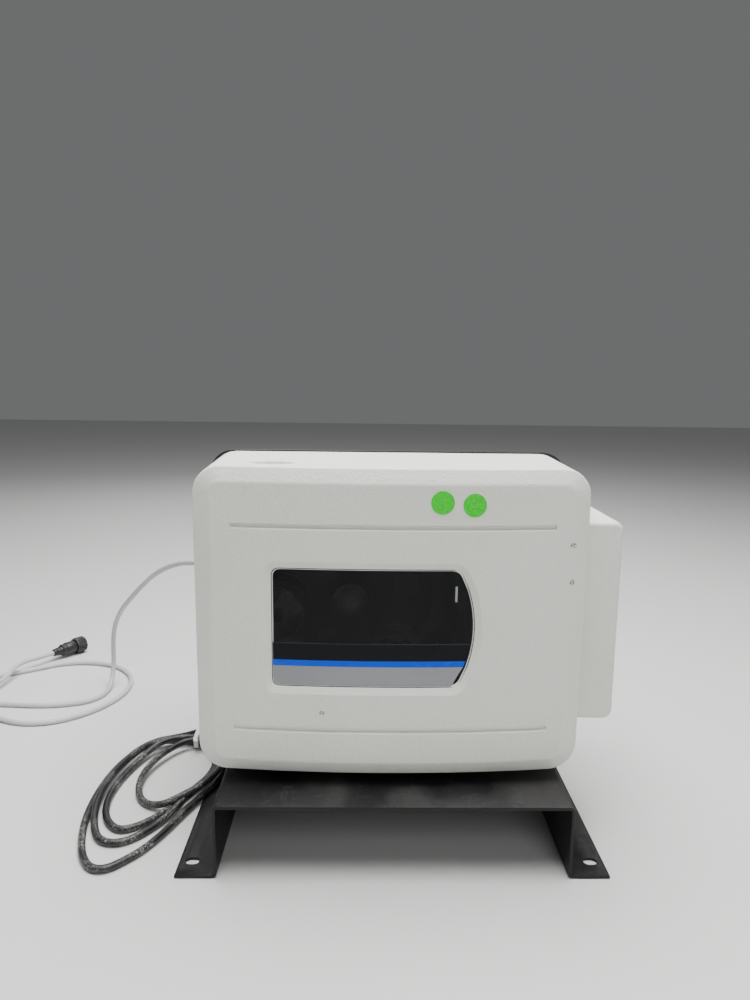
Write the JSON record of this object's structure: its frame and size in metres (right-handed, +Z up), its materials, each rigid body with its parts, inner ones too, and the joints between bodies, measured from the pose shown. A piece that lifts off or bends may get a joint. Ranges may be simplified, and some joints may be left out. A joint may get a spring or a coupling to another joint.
{
  "type": "peristaltic pump",
  "caption": "Rapid-load peristaltic pump with a hinged moulded cover, window, three-roller rotor, lever-moved track, rear drive housing, signal cable and power cord on a bent sheet stand.",
  "frame": {"origin": "centre of the four foot slots, on the surface that the stand rests on", "axes": "+Z up, -Y towards the front cover, +X to the right of a person facing the front"},
  "size_m": [0.8872, 0.5911, 0.4013],
  "materials": {
    "stand_paint": "black powder coat, satin, dusty",
    "rubber": "matt black rubber",
    "zinc": "zinc-plated steel",
    "black_shell": "black moulded plastic",
    "panel_paint": "black painted sheet",
    "black_gloss": "gloss black plastic",
    "head_metal": "milled aluminium",
    "bright_steel": "ground steel",
    "black_matte": "black moulded nylon",
    "black_metal": "black painted steel",
    "cast_case": "cast aluminium",
    "motor_metal": "black anodised motor housing",
    "board_green": "green circuit board",
    "cable_grey": "grey vinyl jacket",
    "pin_metal": "plated brass contacts",
    "cord_black": "black cord jacket with dust",
    "tie_white": "white tie",
    "white_shell": "off-white moulded foam, orange-peel surface",
    "smoked_pane": "smoked glossy pane",
    "label_grey": "printed film with a blue stripe",
    "dot_green": "bright green stickers",
    "rotor_metal": "hard anodised aluminium",
    "gear_steel": "oiled gear steel",
    "roller_steel": "turned stainless steel",
    "bed_metal": "machined aluminium",
    "lever_metal": "steel plate"
  },
  "bodies": {
    "base": {"stand_bracket": "stand_paint", "isolators": "rubber", "mounting_bolts": "zinc", "rear_housing": "black_shell", "housing_gasket": "rubber", "rear_panel": "panel_paint", "panel_screws": "zinc", "power_switch": "black_gloss", "head_plate": "head_metal", "head_screws": "zinc", "guide_rods": "bright_steel", "rod_blocks": "head_metal", "upper_tube_guide": "black_matte", "lower_tube_guide": "black_matte", "main_bearing": "bright_steel", "shaft_seal": "rubber", "catch_magnet": "zinc", "hinge_leaves_fixed": "black_metal", "hinge_pins": "bright_steel", "lever_pivot": "bright_steel", "gearbox_case": "cast_case", "motor_body": "motor_metal", "control_board": "board_green", "signal_gland": "black_matte", "cord_gland": "black_matte", "signal_cable": "cable_grey", "connector_shell": "black_matte", "connector_pins": "pin_metal", "power_cord_lead": "cord_black", "power_cord_hank": "cord_black", "cord_tie": "tie_white", "power_cord_tail": "cord_black", "mains_plug": "cord_black", "plug_pins": "pin_metal"},
    "cover": {"front_cover": "white_shell", "side_bulge": "white_shell", "bulge_screws": "zinc", "window_pane": "smoked_pane", "window_gasket": "rubber", "window_label": "label_grey", "marker_dots": "dot_green", "cover_pull": "black_matte", "hinge_leaves_cover": "black_metal", "catch_plate": "zinc"},
    "rotor": {"rotor_carrier": "rotor_metal", "drive_shaft": "bright_steel", "rotor_nut": "zinc", "roller_axles": "bright_steel", "output_gear": "gear_steel"},
    "roller_a": {"roller_1": "roller_steel"},
    "roller_b": {"roller_2": "roller_steel"},
    "roller_c": {"roller_3": "roller_steel"},
    "bed": {"occlusion_bed": "bed_metal", "bed_pin": "bright_steel"},
    "lever": {"occlusion_lever": "lever_metal", "lever_grip": "black_matte"},
    "idler": {"idler_gears": "gear_steel"},
    "motor_rotor": {"motor_shaft": "gear_steel"},
    "switch": {"switch_rocker": "black_gloss"},
    "connector_ring": {"coupling_ring": "black_matte"}
  },
  "joints": [
    {"name": "cover_hinge", "type": "hinge", "parent": "base", "child": "cover", "pos_m": [0.203, 0.031, 0.24], "axis": [0, 0, 1], "range_deg": [0, 100]},
    {"name": "rotor_spin", "type": "hinge", "parent": "base", "child": "rotor", "pos_m": [-0.045, 0, 0.2505], "axis": [0, 1, 0], "continuous": true},
    {"name": "roller_a_spin", "type": "hinge", "parent": "rotor", "child": "roller_a", "pos_m": [-0.12043, 0, 0.24124], "axis": [0, 1, 0], "continuous": true},
    {"name": "roller_b_spin", "type": "hinge", "parent": "rotor", "child": "roller_b", "pos_m": [0.00074, 0, 0.1898], "axis": [0, 1, 0], "continuous": true},
    {"name": "roller_c_spin", "type": "hinge", "parent": "rotor", "child": "roller_c", "pos_m": [-0.0153, 0, 0.32046], "axis": [0, 1, 0], "continuous": true},
    {"name": "lever_swing", "type": "hinge", "parent": "base", "child": "lever", "pos_m": [0.13, 0, 0.2505], "axis": [0, 1, 0], "range_deg": [0, 80]},
    {"name": "bed_slide", "type": "slide", "parent": "base", "child": "bed", "axis": [1, 0, 0], "range_m": [0, 0.012]},
    {"name": "idler_spin", "type": "hinge", "parent": "base", "child": "idler", "pos_m": [0.02063, 0, 0.2505], "axis": [0, 1, 0], "continuous": true},
    {"name": "motor_spin", "type": "hinge", "parent": "base", "child": "motor_rotor", "pos_m": [0.02063, 0, 0.20363], "axis": [0, 1, 0], "continuous": true},
    {"name": "switch_rock", "type": "hinge", "parent": "base", "child": "switch", "pos_m": [-0.15, 0.134, 0.19], "axis": [1, 0, 0], "range_deg": [0, 16]},
    {"name": "connector_ring_turn", "type": "hinge", "parent": "base", "child": "connector_ring", "pos_m": [-0.557, 0.3973, 0.014], "axis": [0.575, 0.8181, 0], "range_deg": [0, 120]}
  ],
  "couplings": [
    {"joint": "bed_slide", "follows": "lever_swing", "m_per_rad": 0.0085944},
    {"joint": "idler_spin", "follows": "rotor_spin", "ratio": -4},
    {"joint": "motor_spin", "follows": "rotor_spin", "ratio": 16}
  ]
}
